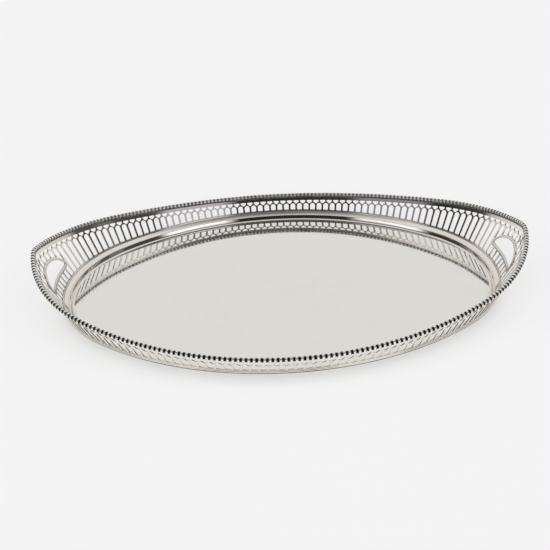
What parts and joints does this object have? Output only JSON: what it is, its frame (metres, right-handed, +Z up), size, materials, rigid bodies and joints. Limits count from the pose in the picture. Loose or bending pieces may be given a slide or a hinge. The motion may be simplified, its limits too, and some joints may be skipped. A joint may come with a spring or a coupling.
{
  "type": "oval gallery tray",
  "caption": "Oval silver-plated serving and vanity tray: flat polished base, stepped border, pierced gallery rising to each end, hand-holes and a beaded rim.",
  "frame": {"origin": "middle of the foot rim on the resting plane", "axes": "+X along the tray's length towards the right hand-hole, +Y towards the rear side, +Z up out of the tray"},
  "size_m": [0.5, 0.347, 0.0586],
  "materials": {
    "plate": "mirror-polished silver plate with fine wear scratches",
    "border": "polished silver plate, slightly darkened in the cove",
    "gallery": "polished silver plate, softly worn, faint tarnish in the piercings",
    "beading": "polished silver plate, tarnished dark between the beads"
  },
  "bodies": {
    "root": {"base_plate": "plate", "border_moulding": "border", "foot_rim": "border", "gallery_foot_wire": "border", "gallery_front": "gallery", "gallery_rear": "gallery", "gallery_left_end": "gallery", "gallery_right_end": "gallery", "hole_edging_left": "gallery", "hole_edging_right": "gallery", "bead_rim_front": "beading", "bead_rim_rear": "beading", "bead_rim_left_end": "beading", "bead_rim_right_end": "beading"}
  },
  "joints": []
}
